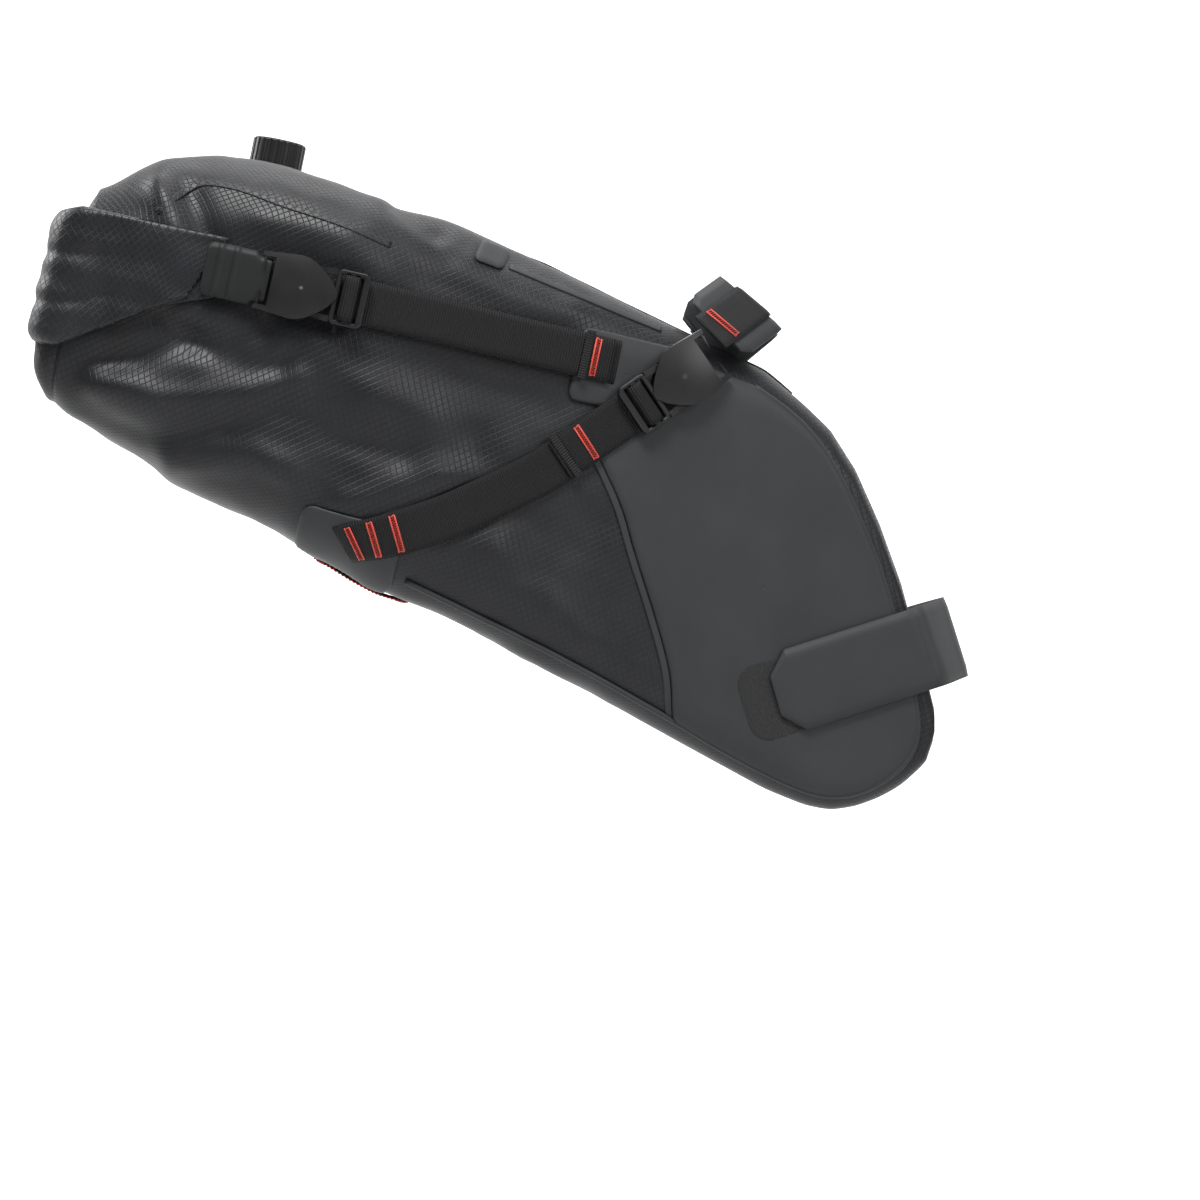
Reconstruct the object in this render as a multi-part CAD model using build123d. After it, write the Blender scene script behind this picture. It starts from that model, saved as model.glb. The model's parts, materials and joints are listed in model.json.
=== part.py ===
from build123d import *
from functools import cache
from math import atan, atan2, cos, degrees, hypot, radians, sin, sqrt, tan
import os

# Roll-top saddle bag (bikepacking seat pack). Millimetres.
# +X is the bike's forward direction, +Z is up, -Y is the bike's right side.
# The origin is the centre of the seatpost strap's clamp, on the seatpost's axis.

# ---- driving dimensions: what the bag fastens to ----
POST_R = 13.6               # 27.2 mm seatpost
POST_TILT = 17.4            # degrees that the seatpost leans back from vertical
RAIL_R = 3.5                # 7 mm saddle rail
RAIL_Y = 22.0               # half of the 44 mm rail spacing
RAIL_TILT = 40.0            # degrees that the rails fall towards the front under the pads
RAIL_X, RAIL_Z = -84.8, 153.4

# ---- driving dimensions: the bag's body ----
WALL = 1.6                  # laminated ripstop with its foam lining
TAPER_X = -245.0            # the sides run parallel behind this station and taper ahead of it
BODY_HALF_W = 86.0
NOSE_X = 3.0                # front end of the nose
NOSE_HALF_W = 21.5          # half width at the front end
TAPER = (BODY_HALF_W - NOSE_HALF_W) / (NOSE_X - TAPER_X)
MOUTH_FWD = 1.5             # mouth plane ahead of the rolled closure's inner face
TOP_LINE = [(-402, 176), (-388, 196), (-368, 209), (-345, 219), (-320, 221), (-290, 215), (-250, 203),
            (-206, 186.5), (-165, 168.5), (-119, 146.5), (-74.5, 125.4), (-56, 110), (-44.5, 98.7),
            (-33, 80.7), (-22, 56.2), (-12, 29), (-1, -12), (NOSE_X, -28)]
BOTTOM_LINE = [(-402, 118), (-388, 104), (-345, 76), (-290, 48), (-250, 27.5), (-206, 5.5), (-165, -15),
               (-119, -40.5), (-74.5, -65), (-56, -72.5), (-44.5, -74.7), (-33, -73), (-22, -69),
               (-12, -63.5), (-1, -53.5), (NOSE_X, -42)]
CORNER_LINE = [(-402, 22), (-368, 34), (-320, 40), (-250, 36), (-165, 30), (-74.5, 20), (-33, 12),
               (-12, 10), (NOSE_X, 5)]
WIDTH_LINE = [(-402, 80), (-388, 83), (-345, 86.5), (-290, 87), (TAPER_X, BODY_HALF_W),
              (NOSE_X, NOSE_HALF_W)]

# ---- driving dimensions: webbing and buckles ----
WEB_W = 20.0
WEB_T = 1.4
PATCH_T = 1.0
PANEL_T = 1.0
EDGE_W = 6.5                # folded binding along the floor edge and the front edge
HARDWARE_Y = 87.2           # plane that the roll buckles stand on
LAYER_GAP = 0.3             # between the seatpost strap's two hook-and-loop faces
ROLL_DOWN = 12.6            # degrees that the roll strap falls towards the front
ROLL_X, ROLL_Z = -267.0, 155.0
COMPRESSION_DOWN = 34.6     # degrees that the compression strap leaves the rail buckle at
RAIL_BUCKLE_X, RAIL_BUCKLE_Z = -125.5, 113.0
RAIL_STRAP_UP = 38.5        # degrees that the rail webbing rises towards the rail
FEMALE_L = 34.0
FEMALE_HALF_W = 14.2
MALE_L = 15.0
MALE_HALF_W = 12.2
TONGUE_H = 6.0              # height of the buckles' mid plane above the plane they stand on
ROLL_STRAP_L = 128.0        # lengths ahead of the buckle's mouth, along the strap
ROLL_TAIL_L = 125.0
RAIL_TAIL_L = 52.0
TAIL_START = 4.0

# ---- driving dimensions: rolled closure ----
BAND_T = 12.0               # rolled fabric across the mouth
WING_T = 3.2                # folded ends along the sides
WING_GAP = 1.1
BAND_X, BAND_Z = -386.0, 164.0

# ---- driving dimensions: seatpost strap ----
STRAP_W = 38.0
STRAP_T = 2.0
FLAP_HINGE_A = -3.0
FLAP_L = 74.0
PILE_T = 0.8                # each face of the hook-and-loop
LINER_T = 1.4

# ---- driving dimensions: air valve ----
VALVE_X = -300.0
NECK_R = 8.7
CAP_R = 12.2
CAP_H = 12.5
CAP_FLUTES = 24

# ---- values worked out from the driving dimensions ----
TAPER_ANGLE = atan(TAPER)
POST_DOWN = Vector(sin(radians(POST_TILT)), 0, -cos(radians(POST_TILT)))
ROLL_DIR = Vector(cos(radians(ROLL_DOWN)), 0, -sin(radians(ROLL_DOWN)))
HOOK_LOW = PANEL_T + PILE_T + LAYER_GAP
SIDE_TURN = 8.0             # how far the side panels turn in over the top and floor
FAR = 400.0


def along(line, x):
    """Height or width at station x of a line given as (x, value) corners."""
    for (x0, v0), (x1, v1) in zip(line, line[1:]):
        if x <= x1 or (x1, v1) == line[-1]:
            return v0 + (v1 - v0) * (x - x0) / (x1 - x0)


def stretch(line, x):
    """How much longer than its normal an upright offset of a sloping line is."""
    step = 2.0
    slopes = [(along(line, x + s * step) - along(line, x)) / (s * step) for s in (-1, 1)]
    return sum(sqrt(1 + slope * slope) for slope in slopes) / 2


def body(grow=0.0):
    """The bag's outer shape as a solid, grown or shrunk by a wall thickness."""
    stations = sorted({x for x, _ in TOP_LINE} | {x for x, _ in BOTTOM_LINE})
    first, last = stations[0], stations[-1]
    faces = []
    for x in stations:
        top = along(TOP_LINE, x) + grow * stretch(TOP_LINE, x)
        bottom = along(BOTTOM_LINE, x) - grow * stretch(BOTTOM_LINE, x)
        radius = max(along(CORNER_LINE, x) + grow, 2.0)
        if top - bottom < 2 * radius + 1:
            if grow < 0:
                continue
            radius = (top - bottom - 1) / 2
        place = x - grow if x == first else x + grow if x == last else x
        half_w = along(WIDTH_LINE, x) + grow
        plane = Plane(origin=(place, 0, (top + bottom) / 2), x_dir=(0, 1, 0), z_dir=(1, 0, 0))
        faces.append(plane * RectangleRounded(2 * half_w, top - bottom, radius))
    return loft(faces, ruled=True)


def side_prism(face, inner=0.0):
    """Extrude an outline drawn in the XZ plane over the bag's right side."""
    plane = Plane(origin=(0, -inner, 0), x_dir=(1, 0, 0), z_dir=(0, -1, 0))
    return extrude(plane * face, amount=FAR)


def layer(face, low, high, inner=0.0):
    """A sheet that follows the bag's right side between two heights above it."""
    return (BODIES(high) & side_prism(face, inner)) - BODIES(low)


class BodyStore:
    """Keeps each grown body, so that it is lofted only once."""

    def __init__(self):
        self.made = {}

    def __call__(self, grow):
        key = round(grow, 3)
        if key not in self.made:
            self.made[key] = body(key)
        return self.made[key]


BODIES = BodyStore()


def band(x0, z0, x1, z1, width):
    """Outline of a straight strap between two points of the XZ plane."""
    length = hypot(x1 - x0, z1 - z0)
    turn = degrees(atan2(z1 - z0, x1 - x0))
    return Pos((x0 + x1) / 2, (z0 + z1) / 2) * Rot(0, 0, turn) * Rectangle(length, width)


def wall_half_w(x):
    """Half width of the tapering part at station x."""
    return NOSE_HALF_W + TAPER * (NOSE_X - x)


def post_cylinder(radius):
    """A long cylinder on the seatpost's axis."""
    plane = Plane(origin=(0, 0, 0), x_dir=(0, 1, 0), z_dir=POST_DOWN)
    return extrude(plane * Circle(radius), amount=FAR, both=True)


def post_plane():
    """Plane across the seatpost: X points forward off the post, Y to the bike's left, Z up it."""
    return Plane(origin=(0, 0, 0), x_dir=(cos(radians(POST_TILT)), 0, sin(radians(POST_TILT))),
                 z_dir=POST_DOWN * -1)


def roll_plane():
    """Plane of the right roll buckle: X points forward along the strap, Z away from the bag."""
    return Plane(origin=(ROLL_X, -HARDWARE_Y, ROLL_Z), x_dir=ROLL_DIR, z_dir=(0, -1, 0))


def rail_plane():
    """Plane of the right rail buckle: X points down the compression strap, Z away from the bag."""
    drop = radians(COMPRESSION_DOWN)
    ahead = Vector(cos(TAPER_ANGLE), sin(TAPER_ANGLE), 0)
    out = Vector(sin(TAPER_ANGLE), -cos(TAPER_ANGLE), 0)
    origin = Vector(RAIL_BUCKLE_X, -wall_half_w(RAIL_BUCKLE_X), RAIL_BUCKLE_Z)
    return Plane(origin=origin, x_dir=ahead * -cos(drop) + Vector(0, 0, -sin(drop)), z_dir=out)


def closure_plane():
    """Plane of the rolled closure: X points forward along the slide, Y left, Z up across it."""
    up = Vector(sin(radians(ROLL_DOWN)), 0, cos(radians(ROLL_DOWN)))
    return Plane(origin=(BAND_X, 0, BAND_Z), x_dir=ROLL_DIR, z_dir=up)


def valve_plane():
    """Plane on the bag's top under the air valve, Z out of the bag."""
    slope = (along(TOP_LINE, VALVE_X + 5) - along(TOP_LINE, VALVE_X - 5)) / 10
    out = Vector(-slope, 0, 1).normalized()
    return Plane(origin=(VALVE_X, 0, along(TOP_LINE, VALVE_X)), x_dir=(0, 1, 0), z_dir=out)


# ---- bag body ----
def mouth_cutter():
    """Space behind the mouth plane and above the lower lip."""
    plane = closure_plane()
    face = Plane(origin=plane.origin, x_dir=plane.x_dir, z_dir=(0, -1, 0)) * make_face(
        Polyline((MOUTH_FWD, -31.5), (MOUTH_FWD, 90), (-60, 90), (-60, -31.5), close=True))
    return extrude(face, amount=FAR, both=True)


@cache
def shell():
    """The whole welded shell, open at the rear."""
    hollow = BODIES(-WALL) - post_cylinder(POST_R + LINER_T + WALL)
    shell = BODIES(0) - post_cylinder(POST_R + LINER_T) - hollow - mouth_cutter()
    hole = extrude(valve_plane() * Circle(NECK_R + 0.3), amount=15, both=True)
    return shell - hole


def side_cutter():
    """Prism that parts the shell's side panels from its top and floor."""
    line = [(x, half_w - SIDE_TURN) for x, half_w in [(-430, 74.5)] + WIDTH_LINE[:-1] + [(20, wall_half_w(20))]]
    outline = Polyline(*line, *[(x, -y) for x, y in reversed(line)], close=True)
    return extrude(make_face(outline), amount=FAR, both=True)


def upper_cutter():
    """Everything above the line that parts the top panel from the floor."""
    line = [(-430, 147), (-345, 147), (-290, 131), (-206, 96), (-119, 53), (-56, 19), (-22, -6), (20, -40)]
    outline = Polyline(*line, (20, FAR), (-430, FAR), close=True)
    return extrude(Plane.XZ * make_face(outline), amount=FAR, both=True)


def shell_top():
    return shell() & side_cutter() & upper_cutter()


def shell_floor():
    return (shell() & side_cutter()) - upper_cutter()


def shell_side():
    half = Pos(0, -FAR / 2, 0) * Box(4 * FAR, FAR, 4 * FAR)
    return (shell() - side_cutter()) & half


def base_stiffener():
    """Plastic tray inside the bag's floor."""
    inset = WALL + 0.1
    line = [(-246, 28), (-62, -66), (-62, -30), (-246, 62)]
    prism = extrude(Plane.XZ * make_face(Polyline(*[(x, z - 12) for x, z in line[:2]], *line[2:], close=True)),
                    amount=FAR, both=True)
    return (BODIES(-inset) & prism) - BODIES(-inset - 1.2)


def spine_panel():
    """Smooth strip along the top, under the saddle."""
    block = Pos(-128.5, 0, 150) * Box(133, 40, 140)
    return (BODIES(PANEL_T) & block) - BODIES(0)


def side_outline(inset):
    """The bag's outline in side view, moved inwards."""
    lower = list(reversed(BOTTOM_LINE))
    outline = make_face(Polyline(*TOP_LINE, *lower, close=True))
    return offset(outline, amount=-inset) if inset else outline


def nose_outline():
    """Smooth nose panel in side view, inside the bound edge."""
    rear = Spline((-151, 88), (-140, 64), (-133.5, 42), (-124, 12), (-118, -11), (-117, -60))
    rest = Polyline(rear @ 1, (-117, -110), (30, -110), (30, 128), (-116, 128), rear @ 0)
    return make_face([rear, *rest.edges()]) & side_outline(EDGE_W)


def edge_window():
    """Side view of the stretch of edge that is bound: the floor and the front."""
    return make_face(Polyline((-240, 60), (-240, 0), (-40, -110), (40, -110), (40, 20), (-25, 112), (-62, 130),
                              (-72, 112), (-40, 70), (-30, -20), (-60, -50), (-75, -50), close=True))


def strap_window():
    """Block that the seatpost strap passes through, on both sides of the nose."""
    return post_plane() * Pos(-14, 0, 0) * Box(36, FAR, STRAP_W + 4)


def nose_panel():
    return layer(nose_outline(), 0, PANEL_T, inner=9) - post_cylinder(POST_R + LINER_T)


def edge_binding():
    """Folded ripstop that binds the floor edge and the front edge."""
    strip = (side_outline(0) - side_outline(EDGE_W)) & edge_window()
    return layer(strip, 0, PANEL_T, inner=12) - post_cylinder(POST_R + LINER_T)


def edge_piping():
    """Raised rim along the inner side of the binding."""
    rim = (side_outline(EDGE_W) - side_outline(EDGE_W + 2.6)) & edge_window()
    made = layer(rim, PANEL_T, PANEL_T + 1.4, inner=12) - post_cylinder(POST_R + LINER_T + 1)
    return made - strap_window()


def upper_anchor_patch():
    shape = Pos(-138, 122) * Rot(0, 0, -ROLL_DOWN) * RectangleRounded(46, 32, 4) - nose_outline()
    return layer(shape, 0, PATCH_T, inner=20)


def lower_anchor_patch():
    shape = Pos(-262, 42) * Rot(0, 0, -18) * RectangleRounded(46, 30, 5)
    return layer(shape, 0, PATCH_T, inner=30)


def top_patch():
    return layer(Pos(-198.5, 178) * Rectangle(14, 12), 0, PATCH_T, inner=24)


def accessory_loop():
    """Short webbing loop under the floor, for a lamp."""
    block = Pos(-259, 0, 20) * Box(36, WEB_W, 60)
    gap = Pos(-259, 0, 20) * Box(24, 2 * WEB_W, 60)
    bridge = (BODIES(4.4) & block) - BODIES(0)
    return bridge - (BODIES(3.0) & gap)


# ---- side straps that stay on the bag ----
def roll_strip(start, stop):
    """Side view of a stretch of the roll strap, measured ahead of the buckle's mouth."""
    mouth = Vector(ROLL_X, 0, ROLL_Z)
    a, b = mouth + ROLL_DIR * start, mouth + ROLL_DIR * stop
    return band(a.X, a.Z, b.X, b.Z, WEB_W)


def roll_strap():
    """Webbing on the side, from under the roll buckle to the upper anchor."""
    return layer(roll_strip(1, ROLL_STRAP_L), PATCH_T, PATCH_T + WEB_T, inner=20)


def roll_tail():
    """Free end of the roll strap, which comes back over it from the ladder lock."""
    return layer(roll_strip(TAIL_START, ROLL_TAIL_L), PATCH_T + WEB_T, PATCH_T + 2 * WEB_T, inner=20)


def compression_path(start=2.0, straight=62.0):
    """Centre line in side view: straight from the rail buckle, then bending to the rear anchor."""
    down = Vector(-cos(radians(COMPRESSION_DOWN)), -sin(radians(COMPRESSION_DOWN)))
    mouth = Vector(RAIL_BUCKLE_X, RAIL_BUCKLE_Z)
    knee = mouth + down * straight
    return [Line(mouth + down * start, knee), TangentArc([knee, Vector(-263, 46.5)], tangent=down)]


def compression_strap():
    return layer(trace(compression_path(), line_width=WEB_W), PATCH_T, PATCH_T + WEB_T, inner=30)


def compression_tail():
    """Free end of the compression strap, on top of it."""
    strip = trace(compression_path(TAIL_START, RAIL_TAIL_L)[0], line_width=WEB_W)
    return layer(strip, PATCH_T + WEB_T, PATCH_T + 2 * WEB_T, inner=20)


def keeper(face, low):
    """Flat loop round the webbing, seen from the side as a short bar across it."""
    return layer(face, low, low + 0.9, inner=20)


def strap_keepers():
    """Loops that hold the webbing's free ends, on both sides."""
    roll = roll_strip(ROLL_TAIL_L - 14, ROLL_TAIL_L - 10)
    strip = compression_path(RAIL_TAIL_L - 5, RAIL_TAIL_L - 1)[0]
    made = []
    for face in (roll, trace(strip, line_width=WEB_W)):
        right = keeper(face, PATCH_T + 2 * WEB_T)
        made += [right, mirror(right, Plane.XZ)]
    return made


def bar_tacks():
    """Thread bars that hold the webbing ends, on both sides."""
    lower, upper = PATCH_T + WEB_T, PATCH_T + 2 * WEB_T
    arc = compression_path()[1]
    marks = []
    for u in (0.885, 0.92, 0.955):
        point, way = arc @ u, arc % u
        marks.append((point.X, point.Y, degrees(atan2(way.Y, way.X)), lower))
    roll = Vector(ROLL_X, 0, ROLL_Z) + ROLL_DIR * (ROLL_TAIL_L - 7.5)
    marks.append((roll.X, roll.Z, -ROLL_DOWN, upper))
    rail = compression_path(38, RAIL_TAIL_L)[0] @ 0
    marks.append((rail.X, rail.Y, COMPRESSION_DOWN, upper))
    made = []
    for x, z, turn, low in marks:
        mark = Pos(x, z) * Rot(0, 0, turn) * Rectangle(2.2, WEB_W - 3)
        right = layer(mark, low, low + 0.4, inner=20)
        made += [right, mirror(right, Plane.XZ)]
    return made


# ---- rail straps ----
def rail_hanger(low, high, length):
    """Sheet over the right rail between two radii: one leaf falls outwards, one inwards."""
    outer, inner = (0.68, -0.733), (0.995, 0.0995)
    faces = []
    for radius in (high, low):
        a = Vector(0, -RAIL_Y) + Vector(-0.733, -0.68) * radius
        top = Vector(-radius, -RAIL_Y)
        b = Vector(0, -RAIL_Y) + Vector(-0.0995, 0.995) * radius
        reach = length if radius == high else length + 5
        a_end = a + Vector(*outer) * reach
        b_end = b + Vector(*inner) * reach
        faces.append(make_face([ThreePointArc(a, top, b), Line(b, b_end), Line(b_end, a_end), Line(a_end, a)]))
    down = Vector(-sin(radians(RAIL_TILT)), 0, -cos(radians(RAIL_TILT)))
    plane = Plane(origin=(RAIL_X, 0, RAIL_Z), x_dir=down, z_dir=down.cross(Vector(0, 1, 0)))
    return extrude(plane * (faces[0] - faces[1]), amount=80, both=True)


def rail_outline(width, reach, radius):
    """Skewed outline of the pad or webbing over the rail, in side view."""
    way = Vector(-cos(radians(RAIL_STRAP_UP)), -sin(radians(RAIL_STRAP_UP)))
    middle = Vector(RAIL_X, RAIL_Z) + way * (reach / 2 - 6)
    return Pos(middle.X, middle.Y) * Rot(0, 0, RAIL_STRAP_UP) * RectangleRounded(reach + 12, width, radius)


def rail_pad():
    """Grippy padded sleeve over the saddle rail."""
    sheet = rail_hanger(RAIL_R, RAIL_R + 2.0, 30)
    return (sheet & side_prism(rail_outline(37.5, 27, 4))) - BODIES(PANEL_T)


def rail_webbing():
    """Webbing over the pad, from the bag's top to the rail buckle."""
    sheet = rail_hanger(RAIL_R + 2.0, RAIL_R + 2.0 + WEB_T, 36)
    webbing = (sheet & side_prism(rail_outline(WEB_W, 34, 1))) - BODIES(PANEL_T)
    return webbing - rail_plane() * female_buckle()


# ---- side-release buckles, drawn once in the plane they stand on ----
def shield_outline():
    """Female half seen from above: straight at the webbing, rounded to a point at the mouth."""
    back, shoulder, apex, nose = -FEMALE_L, -17.0, 1.0, 2.4
    up = Spline((shoulder, FEMALE_HALF_W), (-6, 9.8), (apex, nose), tangents=[(1, 0), (0.45, -0.9)])
    down = Spline((apex, -nose), (-6, -9.8), (shoulder, -FEMALE_HALF_W), tangents=[(-0.45, -0.9), (-1, 0)])
    tip = ThreePointArc((apex, nose), (apex + 1.4, 0), (apex, -nose))
    rear = ThreePointArc((back, -FEMALE_HALF_W + 1.5), (back + 2.5, 0), (back, FEMALE_HALF_W - 1.5))
    edges = [up, tip, down, Line(down @ 1, rear @ 0), rear, Line(rear @ 1, up @ 0)]
    return make_face(edges)


def female_buckle():
    """Domed socket half with a bar for the webbing."""
    bottom, top = 2.8, 10.2
    block = Pos(0, 0, bottom) * extrude(shield_outline(), amount=top - bottom)
    dome = Pos(-14, 0, top - 62) * Sphere(62)
    block = block & dome
    socket = Pos(-9.5, 0, TONGUE_H) * Box(25, 23, 4.2)
    slot = Pos(-29.6, 0, 7) * Box(4.2, 21.6, 12)
    under_bar = Pos(-33.5, 0, 4.2) * Box(6, 21.6, 4.6)
    return block - socket - slot - under_bar


def male_buckle():
    """Ladder-lock frame with a guide and two sprung arms."""
    low, high = 4.1, 7.7
    frame_face = Pos(MALE_L / 2, 0) * RectangleRounded(MALE_L, 2 * MALE_HALF_W, 3)
    frame_face -= Pos(4.1, 0) * Rectangle(3.2, 20.8)
    frame_face -= Pos(10.3, 0) * Rectangle(3.4, 20.8)
    frame = Pos(0, 0, low) * extrude(frame_face, amount=high - low)
    frame = chamfer(frame.edges().filter_by(Axis.Z, reverse=True).group_by(Axis.Z)[-1], 0.5)
    parts = Pos(-8.5, 0, TONGUE_H) * Box(17.4, 3.2, 2.6)
    for side in (1, -1):
        arm = Polyline((0.2, side * 9.2), (-15, side * 8.2), (-19.5, side * 7.8), (-20.3, side * 9.2),
                       (-14.5, side * 11.2), (-13.6, side * 10.6), (0.2, side * 12.0), close=True)
        parts += Pos(0, 0, TONGUE_H - 1.3) * extrude(make_face(arm), amount=2.6)
    return frame + parts


def strap_turn():
    """Short piece of webbing over the ladder lock's middle bar, in buckle coordinates."""
    path = Polyline((10.3, 4.3), (10.3, 8.5), (4.1, 8.5), (4.1, 4.3))
    side_view = Plane(origin=(0, WEB_W / 2, 0), x_dir=(1, 0, 0), z_dir=(0, -1, 0))
    return extrude(side_view * trace(path, line_width=1.3), amount=WEB_W)


# ---- rolled closure ----
def closure_outline():
    """Side view of the closure, in the closure's own plane."""
    points = [(-BAND_T, -31), (-BAND_T, 29), (-9, 32), (41, 32), (75, 31), (71.6, 5.6), (40, -7), (2.6, -31)]
    return make_face(Polyline(*points, close=True))


def closure_band():
    """Rolled fabric across the mouth, with its ends folded forward along both sides."""
    inner = HARDWARE_Y + WING_GAP
    outer = inner + WING_T
    ring = Pos(30, 0) * RectangleRounded(84, 2 * outer, 10) - Pos(42, 0) * Rectangle(84, 2 * inner)
    block = closure_plane() * extrude(ring, amount=40, both=True)
    plane = closure_plane()
    view = Plane(origin=plane.origin, x_dir=plane.x_dir, z_dir=(0, -1, 0))
    outline = extrude(view * closure_outline(), amount=FAR, both=True)
    pockets = [closure_plane() * s for s in stiffener_boxes(0.2)]
    made = block & outline
    for pocket in pockets:
        made -= pocket
    return made


def stiffener_boxes(room=0.0):
    """The two stiff strips rolled into the closure."""
    return [Pos(x, 0, 0) * Box(1.4 + room, 160 + room, 24 + room) for x in (-8.2, -3.8)]


def closure_stiffeners():
    return [closure_plane() * strip for strip in stiffener_boxes()]


def closure_tab():
    """Smooth reinforced tab from the closure's end into the roll buckle, in buckle coordinates."""
    height = WING_GAP + WING_T
    tab = Pos(-46.5, 0, height) * extrude(RectangleRounded(23, 24, 3), amount=1.8)
    neck = Pos(-32.5, 0, height + 0.9) * Box(7.8, WEB_W, 1.8)
    ridges = [Pos(x, 0, height + 2.1) * Box(2, 20, 0.6) for x in (-52, -45)]
    return tab + neck + ridges


# ---- seatpost strap ----
def nose_wall(a, height):
    """Y of the right nose wall at distance a along the strap, plus a height above the wall."""
    return -wall_half_w(a * cos(radians(POST_TILT))) - height


def seatpost_strap():
    """Strap sewn to the left of the nose that passes round the front of the post."""
    level = PANEL_T + STRAP_T / 2
    middle_r = POST_R + STRAP_T / 2
    near = Vector(FLAP_HINGE_A + 0.8, nose_wall(FLAP_HINGE_A, HOOK_LOW + PILE_T + STRAP_T / 2))
    far = Vector(1.5, -nose_wall(1.5, level + 0.4))
    start = tangent_angle(near, middle_r, 1)
    stop = tangent_angle(far, middle_r, -1)
    round_post = CenterArc((0, 0), middle_r, degrees(start), degrees(stop - start))
    end = Vector(-48, -nose_wall(-48, level + 0.2))
    path = [Line(near, round_post @ 0), round_post, Line(round_post @ 1, far), Line(far, end)]
    sheet = extrude(post_plane() * trace(path, line_width=STRAP_T), amount=STRAP_W / 2, both=True)
    return sheet - BODIES(PANEL_T) - post_cylinder(POST_R)


def tangent_angle(point, radius, side):
    """Angle at which a line from a point meets a circle about the origin."""
    distance = hypot(point.X, point.Y)
    reach = atan2(sqrt(distance * distance - radius * radius), radius)
    return atan2(point.Y, point.X) + side * reach


def strap_view(face):
    """Turn a face drawn along the strap and up the post into the bag's side view."""
    return Rot(0, 0, POST_TILT) * face


def flap_outline(inset, front):
    """Side view of the flap: square at the post, cut corners at its free end."""
    half = STRAP_W / 2 - inset
    back, cut = -FLAP_L + inset, 10.0
    return strap_view(make_face(Polyline((front, -half), (front, half), (back + cut, half), (back, half - cut),
                                         (back, -half + cut), (back + cut, -half), close=True)))


def seatpost_flap():
    """Free end of the seatpost strap, which peels off the loop patch."""
    low = HOOK_LOW + PILE_T
    return layer(flap_outline(0, FLAP_HINGE_A - 0.8), low, low + STRAP_T, inner=9)


def hook_pad():
    return layer(flap_outline(3, -16), HOOK_LOW, HOOK_LOW + PILE_T, inner=9)


def loop_patch():
    face = strap_view(Pos(-54, -1) * RectangleRounded(72, 36, 9))
    return layer(face, PANEL_T, PANEL_T + PILE_T, inner=9)


def post_liner():
    """Grippy lining of the nose's hollow, which bears on the post."""
    ring = extrude(post_plane() * (Circle(POST_R + LINER_T) - Circle(POST_R)), amount=STRAP_W / 2, both=True)
    return ring & BODIES(0)


# ---- air valve ----
def valve_body():
    """Flanged neck welded through the bag's top."""
    flange = extrude(Circle(15) - Circle(6.4), amount=1.5)
    neck = Pos(0, 0, -6) * extrude(Circle(NECK_R) - Circle(6.4), amount=9)
    return valve_plane() * (Pos(0, 0, 0.6) * flange + neck)


def valve_gasket():
    return valve_plane() * (Pos(0, 0, 0.1) * extrude(Circle(14) - Circle(NECK_R + 0.1), amount=0.5))


def valve_nut():
    """Ring nut inside the bag."""
    ring = Circle(13.5) - Circle(NECK_R + 0.05)
    return valve_plane() * (Pos(0, 0, -5.2) * extrude(ring, amount=2.6))


def valve_stem():
    """Stem and seal that lift when the cap is turned."""
    stem = Pos(0, 0, -7) * Cylinder(2.2, 14, align=(Align.CENTER, Align.CENTER, Align.MIN))
    seal = Pos(0, 0, -9) * Cylinder(5.9, 2, align=(Align.CENTER, Align.CENTER, Align.MIN))
    return valve_plane() * (stem + seal)


def valve_cap():
    """Fluted knob over the neck."""
    bottom = 3.4
    knob = Cylinder(CAP_R, CAP_H, align=(Align.CENTER, Align.CENTER, Align.MIN))
    knob = chamfer(knob.edges().group_by(Axis.Z)[-1], 0.9)
    hollow = Cylinder(NECK_R + 0.5, 2.6, align=(Align.CENTER, Align.CENTER, Align.MIN))
    socket = Cylinder(2.3, 4.2, align=(Align.CENTER, Align.CENTER, Align.MIN))
    knob = knob - hollow - socket
    for i in range(CAP_FLUTES):
        flute = Rot(0, 0, i * 360 / CAP_FLUTES) * Pos(CAP_R + 0.7, 0, CAP_H / 2) * Cylinder(1.2, CAP_H + 2)
        knob -= flute
    return valve_plane() * (Pos(0, 0, bottom) * knob)


# ---- writing the nodes ----
def save(name, shape):
    """Write one node: one solid, or a group of separate solids."""
    solids = []
    for item in shape if isinstance(shape, list) else [shape]:
        solids += list(item.solids())
    export_step(Compound(children=solids) if len(solids) > 1 else solids[0], f"parts/{name}.step")
    print(name, len(solids))


def save_pair(name, right):
    """Write a right-hand node and its mirror image on the left."""
    save(name + "_right", right)
    save(name + "_left", mirror(right, Plane.XZ))


def main():
    os.makedirs("parts", exist_ok=True)
    single = [shell_top, shell_floor, base_stiffener, spine_panel, accessory_loop, bar_tacks, strap_keepers, closure_band,
              closure_stiffeners, seatpost_strap, seatpost_flap, hook_pad, loop_patch, post_liner, valve_body,
              valve_gasket, valve_nut, valve_stem, valve_cap]
    pairs = [shell_side, nose_panel, edge_binding, edge_piping, upper_anchor_patch, lower_anchor_patch, top_patch,
             roll_strap, roll_tail, compression_strap, compression_tail, rail_pad, rail_webbing]
    for make in single:
        save(make.__name__, make())
    for make in pairs:
        save_pair(make.__name__, make())
    for side, plane in (("roll", roll_plane()), ("rail", rail_plane())):
        for make in (female_buckle, male_buckle, strap_turn):
            save_pair(f"{side}_{make.__name__}", plane * make())
    save_pair("closure_tab", roll_plane() * closure_tab())


main()
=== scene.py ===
import json
from math import cos, exp, hypot, pi, radians, sin, sqrt

import bmesh
import bpy
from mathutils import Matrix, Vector, noise
from mathutils.bvhtree import BVHTree


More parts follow.
